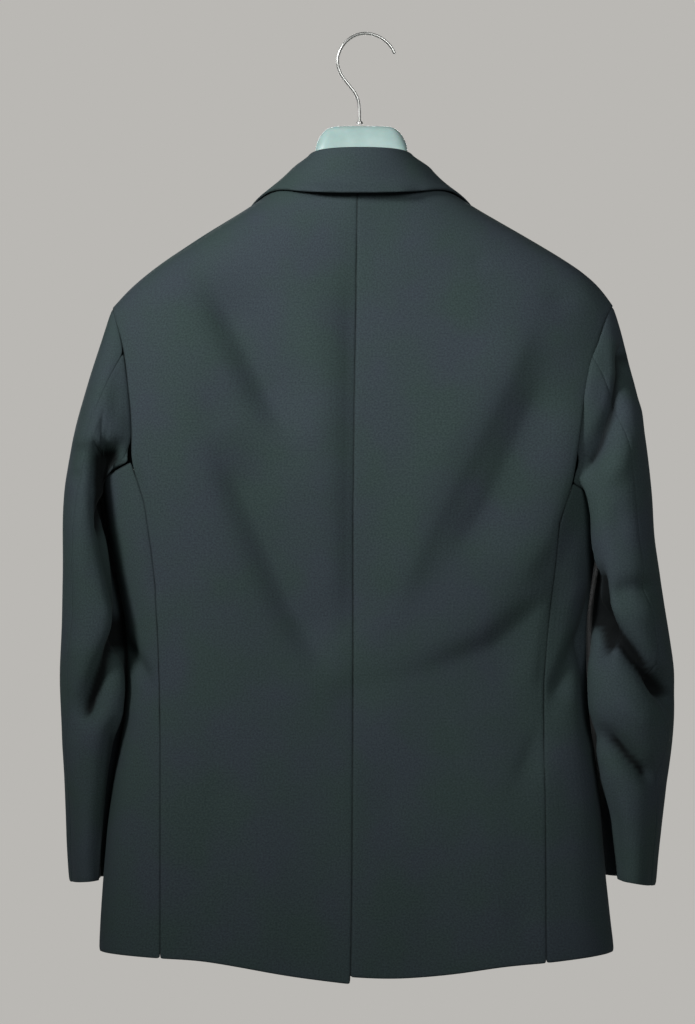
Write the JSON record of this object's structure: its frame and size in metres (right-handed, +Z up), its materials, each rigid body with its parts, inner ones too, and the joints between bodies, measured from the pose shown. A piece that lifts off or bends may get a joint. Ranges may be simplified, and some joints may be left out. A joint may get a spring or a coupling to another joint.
{
  "type": "tailored jacket on a hanger",
  "caption": "Single-breasted tailored jacket with notched lapels and a centre back vent, hung on a moulded plastic hanger with a wire hook.",
  "frame": {"origin": "inside of the hook's crown, where it bears on the rod or nail", "axes": "+Z up, +Y towards the jacket's front, +X to the wearer's right"},
  "size_m": [0.5775, 0.1828, 0.8861],
  "materials": {
    "wool": "finely woven worsted, dark greenish charcoal",
    "button": "polished dark resin",
    "hanger": "satin pale mint moulding",
    "wire": "bright drawn wire"
  },
  "bodies": {
    "root": {"back_left": "wool", "back_right": "wool", "collar": "wool", "front_button_1": "button", "front_button_2": "button", "front_left": "wool", "front_right": "wool", "hanger_body": "hanger", "hanger_hook": "wire", "hook_ferrule": "wire", "lapel_left": "wool", "lapel_right": "wool", "side_panel_left": "wool", "side_panel_right": "wool", "top_sleeve_left": "wool", "top_sleeve_right": "wool", "under_sleeve_left": "wool", "under_sleeve_right": "wool", "vent_underlap": "wool"}
  },
  "joints": []
}
